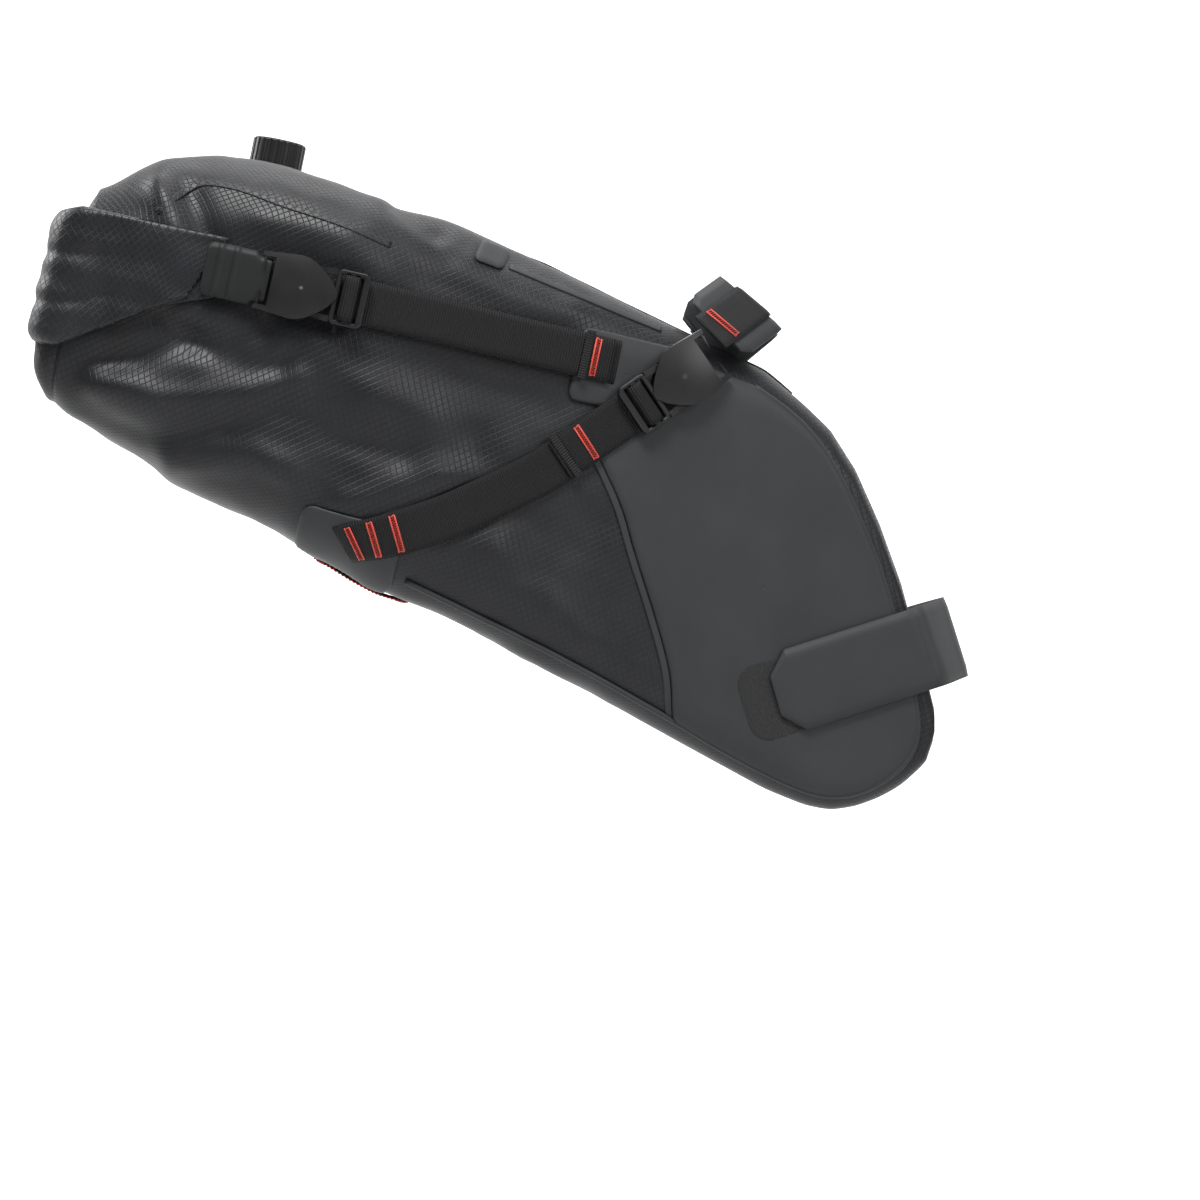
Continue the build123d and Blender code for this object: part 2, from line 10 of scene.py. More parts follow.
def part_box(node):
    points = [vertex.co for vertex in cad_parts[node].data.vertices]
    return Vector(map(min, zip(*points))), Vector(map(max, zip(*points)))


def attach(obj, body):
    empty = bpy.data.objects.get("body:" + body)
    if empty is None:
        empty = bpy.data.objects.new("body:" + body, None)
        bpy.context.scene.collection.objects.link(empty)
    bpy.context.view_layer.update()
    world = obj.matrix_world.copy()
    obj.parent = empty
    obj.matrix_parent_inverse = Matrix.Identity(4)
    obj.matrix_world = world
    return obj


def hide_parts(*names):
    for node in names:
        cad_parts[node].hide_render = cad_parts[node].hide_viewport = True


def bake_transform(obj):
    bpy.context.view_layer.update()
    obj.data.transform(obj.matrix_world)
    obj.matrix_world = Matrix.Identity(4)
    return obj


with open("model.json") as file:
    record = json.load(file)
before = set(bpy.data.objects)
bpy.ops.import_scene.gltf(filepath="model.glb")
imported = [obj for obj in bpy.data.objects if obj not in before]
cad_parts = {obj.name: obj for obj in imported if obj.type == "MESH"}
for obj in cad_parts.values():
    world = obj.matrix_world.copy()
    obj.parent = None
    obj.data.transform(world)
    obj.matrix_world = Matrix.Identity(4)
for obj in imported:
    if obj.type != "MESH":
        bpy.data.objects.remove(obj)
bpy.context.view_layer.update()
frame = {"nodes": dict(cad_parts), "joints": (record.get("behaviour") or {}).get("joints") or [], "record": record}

# Saddle bag: the looks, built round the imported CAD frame. Metres.
# +X is the bike's forward direction, -Y the bike's right side, which faces the camera.

MM = 0.001
SIDES = {"right": -1.0, "left": 1.0}
JOINTS = {joint["name"]: joint for joint in frame["joints"]}
SLIDE = Vector(JOINTS["closure_unroll"]["axis"])
ROLL_AHEAD = -SLIDE
SLIDE_UP = Vector((ROLL_AHEAD.z * -1, 0, ROLL_AHEAD.x))
POST_DOWN = Vector(JOINTS["seatpost_strap_peel"]["axis"]) * -1
POST_AHEAD = Vector((-POST_DOWN.z, 0, POST_DOWN.x))
WEB_W = 20.0 * MM
WEB_T = 1.5 * MM


# ---------------------------------------------------------------- camera, light and floor
def look(obj, target):
    """Turn a camera or light to face a point."""
    obj.rotation_euler = (Vector(target) - obj.location).to_track_quat("-Z", "Y").to_euler()


def add_camera():
    data = bpy.data.cameras.new("camera")
    data.lens = 130.2
    data.sensor_width = 36
    camera = bpy.data.objects.new("camera", data)
    bpy.context.scene.collection.objects.link(camera)
    camera.location = (-0.1496, -2.0, 0.0212)
    camera.rotation_euler = (pi / 2, 0, 0)
    bpy.context.scene.camera = camera


def add_light(name, location, size, power, target=(-0.18, 0, 0.1)):
    data = bpy.data.lights.new(name, "AREA")
    data.shape = "RECTANGLE"
    data.size, data.size_y = size
    data.energy = power
    light = bpy.data.objects.new(name, data)
    bpy.context.scene.collection.objects.link(light)
    light.location = location
    look(light, target)


def add_stage():
    """Pale floor that curves up into a backdrop."""
    rows = [(-3.0, -0.32), (0.9, -0.32), (1.3, -0.29), (1.6, -0.18), (1.75, 0.05), (1.8, 0.5), (1.8, 3.5)]
    mesh = bpy.data.meshes.new("floor")
    points = [(x, y, z) for y, z in rows for x in (-4, 4)]
    mesh.from_pydata(points, [], [(2 * i, 2 * i + 1, 2 * i + 3, 2 * i + 2) for i in range(len(rows) - 1)])
    floor = bpy.data.objects.new("floor", mesh)
    bpy.context.scene.collection.objects.link(floor)
    floor.modifiers.new("smooth", "SUBSURF").render_levels = 3
    smooth(mesh)
    n = Nodes("floor", 0.9)
    n.shader.inputs["Base Color"].default_value = (0.6, 0.6, 0.6, 1)
    n.shader.inputs["Emission Color"].default_value = (1, 1, 1, 1)
    depth = n.node("ShaderNodeSeparateXYZ", Vector=n.node("ShaderNodeTexCoord").outputs["Object"]).outputs["Y"]
    n.put(n.shader.inputs["Emission Strength"], n.math("SMOOTH_MIN", n.math("MAXIMUM", depth, 0.0), 0.9, 0.1))
    mesh.materials.append(n.material)
    world = bpy.data.worlds.new("studio")
    world.use_nodes = True
    world.node_tree.nodes["Background"].inputs[0].default_value = (1, 1, 1, 1)
    world.node_tree.nodes["Background"].inputs[1].default_value = 0.24
    bpy.context.scene.world = world
    add_light("key", (-0.3, -1.0, 1.7), (0.9, 0.5), 36)
    add_light("side", (1.3, -1.3, 0.9), (0.6, 0.9), 12)
    add_light("rear", (-1.5, 0.5, 0.9), (0.8, 0.8), 14)
    add_light("top", (-0.1, 0.5, 1.6), (1.2, 0.6), 11)
    bpy.context.scene.view_settings.view_transform = "Standard"


# ---------------------------------------------------------------- materials
class Nodes:
    """Short names for building a node material."""

    def __init__(self, name, roughness, **values):
        self.material = bpy.data.materials.new(name)
        self.material.use_nodes = True
        self.tree = self.material.node_tree
        self.shader = self.tree.nodes["Principled BSDF"]
        self.shader.inputs["Roughness"].default_value = roughness
        for key, value in values.items():
            self.shader.inputs[key.replace("_", " ")].default_value = value

    def node(self, kind, **sockets):
        made = self.tree.nodes.new(kind)
        for key, value in sockets.items():
            self.put(made.inputs[key.replace("_", " ")], value)
        return made

    def put(self, socket, value):
        if isinstance(value, bpy.types.NodeSocket):
            self.tree.links.new(value, socket)
        else:
            socket.default_value = value

    def math(self, operation, a, b=0.0, c=0.0):
        made = self.tree.nodes.new("ShaderNodeMath")
        made.operation = operation
        for socket, value in zip(made.inputs, (a, b, c)):
            self.put(socket, value)
        return made.outputs[0]

    def noise(self, scale, detail=3.0, vector=None):
        made = self.node("ShaderNodeTexNoise", Scale=scale, Detail=detail)
        vector = vector or self.node("ShaderNodeTexCoord").outputs["Object"]
        self.tree.links.new(vector, made.inputs["Vector"])
        return made.outputs["Fac"]

    def ramp(self, value, low, high, start=0.0, stop=1.0):
        """A colour that goes from low to high as value goes from start to stop."""
        made = self.node("ShaderNodeValToRGB", Fac=value)
        made.color_ramp.elements[0].position = start
        made.color_ramp.elements[1].position = stop
        made.color_ramp.elements[0].color = (*low, 1)
        made.color_ramp.elements[1].color = (*high, 1)
        return made.outputs["Color"]

    def mix(self, fac, a, b):
        made = self.tree.nodes.new("ShaderNodeMix")
        made.data_type = "RGBA"
        self.put(made.inputs[0], fac)
        self.put(made.inputs[6], a if isinstance(a, bpy.types.NodeSocket) else (*a, 1))
        self.put(made.inputs[7], b if isinstance(b, bpy.types.NodeSocket) else (*b, 1))
        return made.outputs[2]

    def span(self, value, low, high):
        """Map 0..1 to low..high."""
        return self.math("MULTIPLY_ADD", value, high - low, low)

    def uv(self):
        made = self.node("ShaderNodeSeparateXYZ", Vector=self.node("ShaderNodeTexCoord").outputs["UV"])
        return made.outputs["X"], made.outputs["Y"]

    def finish(self, colour, height=None, distance=0.0003, roughness=None, strength=0.6):
        self.put(self.shader.inputs["Base Color"], colour)
        if roughness is not None:
            self.put(self.shader.inputs["Roughness"], roughness)
        if height is not None:
            bump = self.node("ShaderNodeBump", Strength=strength, Distance=distance, Height=height)
            self.tree.links.new(bump.outputs["Normal"], self.shader.inputs["Normal"])
        return self.material


def ripstop():
    """Coated nylon with a raised diamond grid. UVs are in metres."""
    n = Nodes("ripstop", 0.42, Specular_IOR_Level=0.42)
    u, v = n.uv()
    pitch = 3.3 * MM
    a = n.math("FRACT", n.math("DIVIDE", n.math("ADD", u, n.math("MULTIPLY", v, 0.8)), pitch))
    b = n.math("FRACT", n.math("DIVIDE", n.math("SUBTRACT", u, n.math("MULTIPLY", v, 0.8)), pitch))
    cell_a = n.math("SINE", n.math("MULTIPLY", a, pi))
    cell_b = n.math("SINE", n.math("MULTIPLY", b, pi))
    cell = n.math("MINIMUM", cell_a, cell_b)
    line = n.math("SUBTRACT", 1.0, n.math("SMOOTH_MIN", n.math("MULTIPLY", cell, 2.6), 1.0, 0.2))
    grime = n.noise(28)
    ground = n.ramp(grime, (0.0085, 0.009, 0.011), (0.015, 0.016, 0.019), 0.35, 0.7)
    colour = n.mix(n.math("MULTIPLY", line, 0.55), ground, (0.004, 0.004, 0.005))
    fine = n.noise(1400, 2)
    height = n.math("ADD", n.math("SUBTRACT", 1.0, line), n.math("MULTIPLY", fine, 0.3))
    rough = n.math("ADD", n.span(grime, 0.36, 0.5), n.math("MULTIPLY", line, 0.2))
    return n.finish(colour, height, 0.00016, rough, 0.6)


def laminate(name, shade):
    """Smooth matt laminate."""
    n = Nodes(name, 0.55, Specular_IOR_Level=0.35)
    grime = n.noise(22)
    fine = n.noise(2600, 2)
    colour = n.ramp(grime, [shade * c for c in (0.90, 0.95, 1.02)],
                    [shade * c for c in (1.2, 1.25, 1.32)], 0.3, 0.7)
    return n.finish(colour, n.math("ADD", fine, n.math("MULTIPLY", grime, 0.5)), 0.00008,
                    n.span(grime, 0.5, 0.62), 0.5)


def webbing():
    """Woven strap with fine ribs across it. UV x runs across the strap, y along it."""
    n = Nodes("webbing", 0.62, Specular_IOR_Level=0.3)
    u, v = n.uv()
    rib = n.math("SINE", n.math("MULTIPLY", v, 2 * pi / (1.15 * MM)))
    yarn = n.math("SINE", n.math("MULTIPLY", u, 2 * pi / (0.9 * MM)))
    weave = n.math("MULTIPLY_ADD", rib, n.math("MULTIPLY_ADD", yarn, 0.25, 0.75), 0.5)
    grime = n.noise(45)
    dark = n.mix(grime, (0.004, 0.004, 0.0045), (0.009, 0.009, 0.010))
    colour = n.mix(n.math("MULTIPLY", weave, 0.3), dark, (0.022, 0.022, 0.023))
    return n.finish(colour, weave, 0.00025, n.span(grime, 0.55, 0.72), 0.8)


def thread():
    n = Nodes("red_thread", 0.5, Sheen_Weight=0.3)
    twist = n.noise(3200, 2)
    return n.finish(n.mix(twist, (0.62, 0.03, 0.018), (0.85, 0.09, 0.05)), twist, 0.0001)


def moulded():
    """Satin black plastic with fine grain."""
    n = Nodes("moulded_plastic", 0.4)
    grain = n.noise(2200, 2)
    wear = n.noise(60)
    colour = n.ramp(wear, (0.006, 0.006, 0.0065), (0.011, 0.011, 0.012), 0.35, 0.65)
    return n.finish(colour, grain, 0.00006, n.span(wear, 0.34, 0.46), 0.5)


def pile():
    """Hook-and-loop pile."""
    n = Nodes("pile", 0.9, Sheen_Weight=0.4)
    tuft = n.noise(900, 4)
    return n.finish(n.mix(tuft, (0.003, 0.003, 0.003), (0.02, 0.02, 0.021)), tuft, 0.0006, None, 1.0)


def sheet_plastic():
    n = Nodes("sheet_plastic", 0.5)
    cloud = n.noise(40)
    return n.finish(n.ramp(cloud, (0.05, 0.05, 0.055), (0.09, 0.09, 0.095)), n.noise(1500, 2), 0.00005)


def lining():
    """Inside of the laminate: pale grey coated cloth."""
    n = Nodes("lining", 0.5)
    u, v = n.uv()
    weave = n.math("MULTIPLY", n.math("SINE", n.math("MULTIPLY", u, 2 * pi / MM)),
                   n.math("SINE", n.math("MULTIPLY", v, 2 * pi / MM)))
    return n.finish(n.ramp(n.noise(30), (0.10, 0.10, 0.105), (0.14, 0.14, 0.145)), weave, 0.0001)


RIPSTOP, WEBBING, THREAD = ripstop(), webbing(), thread()
LAMINATE, COATED = laminate("laminate", 0.031), laminate("coated_tab", 0.011)
PLASTIC, PILE, SHEET, LINING = moulded(), pile(), sheet_plastic(), lining()


# ---------------------------------------------------------------- mesh helpers
def smooth(mesh):
    for polygon in mesh.polygons:
        polygon.use_smooth = True


def piece(name, points, faces, uvs, material, body):
    """A mesh object that rides on a body. uvs holds one (u, v) per point."""
    mesh = bpy.data.meshes.new(name)
    mesh.from_pydata([tuple(p) for p in points], [], faces)
    layer = mesh.uv_layers.new(name="UVMap")
    for loop in mesh.loops:
        layer.data[loop.index].uv = uvs[loop.vertex_index]
    mesh.materials.append(material)
    smooth(mesh)
    mesh.validate()
    obj = bpy.data.objects.new(name, mesh)
    bpy.context.scene.collection.objects.link(obj)
    if body:
        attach(obj, body)
    return obj


def grid_faces(rows, columns, closed=False):
    """Quads between rows of points; closed joins each row's ends."""
    faces = []
    for i in range(rows - 1):
        for j in range(columns if closed else columns - 1):
            k = (j + 1) % columns
            faces.append((i * columns + j, i * columns + k, (i + 1) * columns + k, (i + 1) * columns + j))
    return faces


def eased(points):
    """Points with each inner one drawn towards its neighbours."""
    inner = [(a + b * 2 + c) / 4 for a, b, c in zip(points, points[1:], points[2:])]
    return [points[0]] + inner + [points[-1]]


def spline(points, count):
    """Evenly spread points on a smooth curve through the given ones."""
    points = [Vector(p) for p in points]
    ends = [points[0] * 2 - points[1]] + points + [points[-1] * 2 - points[-2]]
    dense = []
    for i in range(1, len(ends) - 2):
        p0, p1, p2, p3 = ends[i - 1:i + 3]
        for step in range(24):
            t = step / 24
            dense.append(0.5 * (2 * p1 + (p2 - p0) * t + (2 * p0 - 5 * p1 + 4 * p2 - p3) * t * t
                                + (3 * p1 - p0 - 3 * p2 + p3) * t ** 3))
    dense.append(points[-1])
    return resample(dense, count)


def resample(points, count):
    lengths = [0.0]
    for a, b in zip(points, points[1:]):
        lengths.append(lengths[-1] + (b - a).length)
    out, k = [], 0
    for i in range(count):
        want = lengths[-1] * i / (count - 1)
        while k < len(points) - 2 and lengths[k + 1] < want:
            k += 1
        span = max(lengths[k + 1] - lengths[k], 1e-9)
        out.append(points[k].lerp(points[k + 1], min((want - lengths[k]) / span, 1)))
    return out


def ribbon(name, centre, across, width, thickness, material, body, scale=None):
    """A flat strap along a centre line. across gives its width direction at each point, and scale narrows it."""
    columns = 9
    ring = []
    for side in (1, -1):
        for j in range(columns):
            t = -1 + 2 * j / (columns - 1)
            ring.append((t * side * width / 2, side * thickness / 2 * (0.45 if abs(t) == 1 else 1)))
    points, uvs = [], []
    travelled = 0.0
    for i, c in enumerate(centre):
        before, after = centre[max(i - 1, 0)], centre[min(i + 1, len(centre) - 1)]
        way = (after - before).normalized()
        side = (across[i] - way * across[i].dot(way)).normalized()
        up = side.cross(way)
        if i:
            travelled += (c - centre[i - 1]).length
        taper = scale[i] if scale else 1.0
        for x, h in ring:
            points.append(c + side * x * taper + up * h)
            uvs.append((x, travelled))
    count = len(ring)
    faces = grid_faces(len(centre), count, closed=True)
    faces.append(tuple(reversed(range(count))))
    faces.append(tuple(range((len(centre) - 1) * count, len(centre) * count)))
    return piece(name, points, faces, uvs, material, body)


def tube(name, centre, radius, material, body, sides=8, closed=False):
    """A round bead or thread along a line."""
    points, uvs = [], []
    up = Vector((0, 1, 0.02)).normalized()
    travelled = 0.0
    for i, c in enumerate(centre):
        before = centre[i - 1] if (i or closed) else centre[i]
        after = centre[(i + 1) % len(centre)] if (closed or i < len(centre) - 1) else centre[i]
        way = (after - before).normalized()
        side = way.cross(up).normalized()
        out = side.cross(way)
        if i:
            travelled += (c - centre[i - 1]).length
        for k in range(sides):
            angle = 2 * pi * k / sides
            points.append(c + (side * cos(angle) + out * sin(angle)) * radius)
            uvs.append((radius * angle, travelled))
    faces = grid_faces(len(centre), sides, closed=True)
    if closed:
        last = (len(centre) - 1) * sides
        for k in range(sides):
            faces.append((last + k, last + (k + 1) % sides, (k + 1) % sides, k))
    else:
        faces.append(tuple(reversed(range(sides))))
        faces.append(tuple(range((len(centre) - 1) * sides, len(centre) * sides)))
    return piece(name, points, faces, uvs, material, body)


def bvh_of(obj):
    mesh = obj.data
    return BVHTree.FromPolygons([v.co.copy() for v in mesh.vertices], [p.vertices[:] for p in mesh.polygons])


SHELL = ("shell_top", "shell_floor", "shell_side_right", "shell_side_left")


def shell_without_valve_hole():
    """The CAD shell as a ray target, with a disc over the valve's hole."""
    points, faces = [], []
    for name in SHELL:
        mesh = frame["nodes"][name].data
        faces += [tuple(v + len(points) for v in f.vertices) for f in mesh.polygons]
        points += [v.co.copy() for v in mesh.vertices]
    centre, axis = Vector(JOINTS["valve_turn"]["pos_m"]), Vector(JOINTS["valve_turn"]["axis"])
    ahead = Vector((0, 1, 0)).cross(axis)
    start = len(points)
    points += [centre + (Vector((0, 1, 0)) * cos(a) + ahead * sin(a)) * 11 * MM for a in
               (2 * pi * k / 24 for k in range(24))]
    faces.append(tuple(range(start, start + 24)))
    return BVHTree.FromPolygons(points, faces)


CAD_SHELL = shell_without_valve_hole()
ROWS, AROUND = 190, 260
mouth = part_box("closure_band")

# Centres of the sections and the way each one's plane leans, in side view (x, z) and degrees from upright.
SPINE = [(-383, 160, 12.6), (-345, 150, 8), (-290, 132, 3), (-245, 114, 0), (-206, 95, 0), (-165, 77, 0),
         (-119, 53, -3), (-80, 30, -8), (-50, 12, -14), (-28, 3, -17), (-17, 0, -17.4)]

# Folds of the cloth in side view: points (x, z) in millimetres, half width and height of the ridge.
FOLDS = [
    ([(-372, 118), (-345, 110), (-300, 113), (-282, 118)], 7, 3.4),
    ([(-380, 104), (-352, 92), (-318, 96)], 7, -2.6),
    ([(-340, 82), (-300, 84), (-285, 76)], 7, 3.0),
    ([(-384, 122), (-360, 128), (-330, 136), (-300, 137)], 8, -4.0),
    ([(-330, 150), (-305, 138), (-270, 134)], 8, 2.4),
    ([(-345, 146), (-318, 128), (-292, 124)], 6, -2.6),
    ([(-290, 105), (-262, 92), (-240, 88)], 9, -2.2),
    ([(-300, 128), (-262, 118), (-228, 104)], 10, 1.8),
    ([(-225, 84), (-205, 60), (-196, 40)], 8, 1.8),
    ([(-205, 92), (-190, 66), (-178, 36)], 9, -2.0),
    ([(-185, 52), (-172, 20), (-160, 2)], 8, 1.4),
    ([(-330, 200), (-322, 180), (-318, 166)], 7, -3.0),
    ([(-345, 205), (-338, 190), (-333, 176)], 6, 2.8),
    ([(-300, 190), (-270, 182), (-236, 170)], 9, 1.5),
    ([(-250, 178), (-232, 163), (-205, 152)], 8, -1.6),
    ([(-240, 198), (-232, 190), (-222, 184)], 5, -2.2),
    ([(-208, 170), (-190, 158), (-165, 148)], 8, 1.2),
    ([(-215, 118), (-190, 112), (-160, 104)], 12, -1.6),
    ([(-262, 64), (-240, 72), (-216, 70)], 8, 1.6),
]


# Places repeated from the CAD, in side view and millimetres.
ROLL_MOUTH = (-267.0, 155.0)
ROLL_DOWN = radians(12.6)
RAIL_MOUTH = (-125.5, 113.0)
COMPRESSION_DOWN = radians(34.6)
RAIL_POINT = Vector((-84.8, 0, 153.4)) * MM
RAIL_WAY = Vector((cos(radians(40)), 0, -sin(radians(40))))
RAIL_DROP = Vector((-sin(radians(40)), 0, -cos(radians(40))))
TAPER = (86 - 21.5) / (3 + 245)


def from_mouth(mouth, down, forward, distance):
    """A point a distance along a strap that leaves a buckle's mouth."""
    return (mouth[0] + forward * cos(down) * distance, mouth[1] - sin(down) * distance)


def roll_line(start, stop):
    return [from_mouth(ROLL_MOUTH, ROLL_DOWN, 1, start + (stop - start) * k / 8) for k in range(9)]


def compression_line(start=2.0):
    straight = [from_mouth(RAIL_MOUTH, COMPRESSION_DOWN, -1, start + (62 - start) * k / 4) for k in range(5)]
    return straight + [(-197, 67.5), (-219, 57.5), (-241, 50.5), (-263, 46.5)]


def distance_to(path, x, z):
    best = 1e9
    for (x0, z0), (x1, z1) in zip(path, path[1:]):
        dx, dz = x1 - x0, z1 - z0
        t = max(0.0, min(1.0, ((x - x0) * dx + (z - z0) * dz) / (dx * dx + dz * dz)))
        best = min(best, hypot(x - x0 - dx * t, z - z0 - dz * t))
    return best


PRESSED = [roll_line(-10, 128), compression_line()]


def cloth_height(point):
    """How far the cloth stands off its taut shape at a point, in metres."""
    x, z = point.x / MM, point.z / MM
    side = 1.0 if point.y < 0 else 0.8
    slack = max(0.0, min(1.0, (-115 - x) / 60))
    lateral = min(1.0, abs(point.y) / (40 * MM))
    height = 0.0
    for path, width, rise in FOLDS:
        d = distance_to(path, x, z + (4 if point.y > 0 else 0))
        if d < 3 * width:
            height += rise * exp(-(d / width) ** 2) * side * lateral
    soft = noise.noise(Vector((x / 46, point.y / MM / 46, z / 30 + 3.1)))
    fine = noise.noise(Vector((x / 17 + 9, point.y / MM / 17, z / 11)))
    height += 2.0 * soft * slack + 0.7 * fine * slack
    if abs(point.y) > 18 * MM:
        near = min(distance_to(line, x, z) for line in PRESSED)
        free = max(0.0, min(1.0, (near - 9) / 9))
        height = height * free - 0.5 * (1 - free)
    height -= 8 * exp(-((x + 381) / 15) ** 2 - ((z - 207) / 15) ** 2)
    return height * MM


def section(x, z, lean):
    """Points of the taut outer shape in one leaning plane."""
    up = Vector((sin(radians(lean)), 0, cos(radians(lean))))
    centre = Vector((x * MM, 0, z * MM))
    points = []
    for j in range(AROUND):
        angle = 2 * pi * j / AROUND
        way = (Vector((0, 1, 0)) * sin(angle) * 0.75 + up * cos(angle)).normalized()
        hit = CAD_SHELL.ray_cast(centre + way * 0.4, -way)
        points.append(hit[0] if hit[0] else centre + way * 0.05)
    return resample_ring(points)


def resample_ring(points):
    closed = resample(points + [points[0]], AROUND + 1)
    return closed[:-1]


def taut_rows():
    keys = [Vector(s) for s in SPINE]
    rows = []
    for key in spline(keys, ROWS):
        rows.append(section(*key))
    for _ in range(3):
        fresh = [row[:] for row in rows]
        for i in range(1, ROWS - 1):
            for j in range(AROUND):
                fresh[i][j] = rows[i][j] * 0.5 + (rows[i - 1][j] + rows[i + 1][j]) * 0.25
        rows = fresh
    return rows


def row_normals(rows):
    normals = []
    for i, row in enumerate(rows):
        before, after = rows[max(i - 1, 0)], rows[min(i + 1, len(rows) - 1)]
        line = []
        for j in range(AROUND):
            along = after[j] - before[j]
            round_ = row[(j + 1) % AROUND] - row[j - 1]
            line.append(along.cross(round_).normalized() * -1)
        normals.append(line)
    return normals


def body_rows():
    """The cloth's outer surface: the taut shape with its folds and sag."""
    rows = taut_rows()
    normals = row_normals(rows)
    if normals[60][0].z < 0:
        normals = [[n * -1 for n in line] for line in normals]
    out = []
    for i, row in enumerate(rows):
        ease = min(1.0, i / 8) * min(1.0, (ROWS - 1 - i) / 10)
        out.append([p + n * cloth_height(p) * ease for p, n in zip(row, normals[i])])
    return out


def lengths_uv(rows):
    """UVs in metres taken from where a point lies, so that the weave stays even over the folds."""
    fall, rise = Vector((0.89, 0, -0.456)), Vector((0.456, 0, 0.89))
    uvs = []
    for row in rows:
        wide = max(abs(p.y) for p in row)
        middle = sum(p.dot(rise) for p in row) / len(row)
        for p in row:
            past = max(0.0, wide - abs(p.y) - 5 * MM)
            level = p.dot(rise)
            uvs.append((p.dot(fall), level + (past if level > middle else -past)))
    return uvs


def front_rings(last):
    """Rings that close the front face and dip into the hollow round the post."""
    rings = []
    centre = sum(last, Vector()) / AROUND
    for k in range(1, 25):
        t = 1 - k / 25
        ring = []
        for p in last:
            q = centre + (p - centre) * t
            hit = CAD_SHELL.ray_cast(q + POST_AHEAD * 0.1, -POST_AHEAD)
            ring.append(hit[0] if hit[0] else q)
        rings.append(ring)
    return rings


BODY_ROWS = body_rows()


def add_body():
    rings = BODY_ROWS + front_rings(BODY_ROWS[-1])
    points = [p for row in rings for p in row]
    faces = grid_faces(len(rings), AROUND, closed=True)
    faces.append(tuple(range((len(rings) - 1) * AROUND, len(rings) * AROUND)))
    body = piece("bag_body", points, faces, lengths_uv(rings), RIPSTOP, "bag")
    body.data.flip_normals()
    body.data.materials.append(LINING)
    solid = body.modifiers.new("wall", "SOLIDIFY")
    solid.thickness = 1.2 * MM
    solid.offset = -1
    solid.material_offset = 1
    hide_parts(*SHELL, "edge_binding_right", "edge_binding_left")
    return body


BODY = add_body()
SKIN = bvh_of(BODY)


def on_skin(x, z, side, height):
    """The point of the cloth at a place in side view, and the cloth's normal there."""
    out = Vector((0, SIDES[side], 0))
    start = Vector((x * MM, 0, z * MM)) + out * 0.4
    hit, normal, _, _ = SKIN.ray_cast(start, -out)
    if hit is None:
        hit, normal, _, _ = SKIN.find_nearest(start - out * 0.37)
    if normal.dot(out) < 0:
        normal = -normal
    return hit + normal * height, normal


STRAPS = {}


def strap_on_skin(name, path, side, height, width, thickness, material, count=60):
    """A strap laid on the bag's side along points in side view."""
    centre, normals = [], []
    for p in spline([(x, 0, z) for x, z in path], count):
        spot, _ = on_skin(p.x, p.z, side, 0)
        centre.append(spot)
    for _ in range(5):
        centre = eased(centre)
    for p in centre:
        normals.append(on_skin(p.x / MM, p.z / MM, side, 0)[1])
    for _ in range(8):
        normals = [normals[0]] + [(a + b * 2 + c).normalized() for a, b, c in
                                  zip(normals, normals[1:], normals[2:])] + [normals[-1]]
    lifted = [p + n * (height + thickness / 2) for p, n in zip(centre, normals)]
    across = []
    for i in range(count):
        way = lifted[min(i + 1, count - 1)] - lifted[max(i - 1, 0)]
        across.append(way.cross(normals[i]).normalized())
    STRAPS[name] = lifted, across, normals, thickness
    return ribbon(name, lifted, across, width, thickness, material, "bag")


def patch_on_skin(name, outline, side, height, thickness, material, body="bag", rings=26):
    """A panel laid on the bag's side inside a closed outline in side view."""
    rim = resample([Vector((x, 0, z)) for x, z in outline + outline[:1]], 181)[:-1]
    centre = sum(rim, Vector()) / len(rim)
    points, uvs = [], []
    for k in range(rings + 1):
        t = max(k / rings, 0.001)
        for p in rim:
            q = centre + (p - centre) * t
            edge = max(0.0, 1 - (1 - t) * rings / 1.5)
            points.append(on_skin(q.x, q.z, side, height + thickness * (1 - edge * 0.9))[0])
            uvs.append((q.x * MM, q.z * MM))
    faces = grid_faces(rings + 1, len(rim), closed=True)
    if SIDES[side] > 0:
        faces = [tuple(reversed(f)) for f in faces]
    made = piece(name, points, faces, uvs, material, body)
    solid = made.modifiers.new("thickness", "SOLIDIFY")
    solid.thickness = thickness + 0.4 * MM
    solid.offset = -1
    return made


def both(make, *names):
    """Make a piece on both sides and let it stand for its CAD nodes."""
    for side in SIDES:
        made = make(side)
        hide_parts(*[f"{name}_{side}" for name in names])


# ---------------------------------------------------------------- panels and patches
NOSE_REAR = [(-151, 88), (-140, 64), (-133.5, 42), (-124, 12), (-118, -11), (-116, -33)]
NOSE_RIM = [(-116, -33), (-96, -45), (-74, -57), (-56, -65), (-44, -67.5), (-32, -66), (-22, -61.5), (-13, -55),
            (-7, -47), (-5, -38), (-6.5, -24), (-19, 24), (-29, 51), (-40, 75), (-50, 91), (-62, 104), (-80, 117)]


def plain(points):
    return [(p.x, p.z) for p in points]


def curve(points, count):
    return plain(spline([(x, 0, z) for x, z in points], count))


def rectangle(x, z, width, height, turn, corner=3.0):
    """Outline of a rounded rectangle in side view."""
    outline = []
    for cx, cz, start in ((1, 1, 0), (-1, 1, 90), (-1, -1, 180), (1, -1, 270)):
        for step in range(7):
            angle = radians(start + 15 * step)
            px = cx * (width / 2 - corner) + corner * cos(angle)
            pz = cz * (height / 2 - corner) + corner * sin(angle)
            outline.append((x + px * cos(radians(turn)) - pz * sin(radians(turn)),
                            z + px * sin(radians(turn)) + pz * cos(radians(turn))))
    return outline


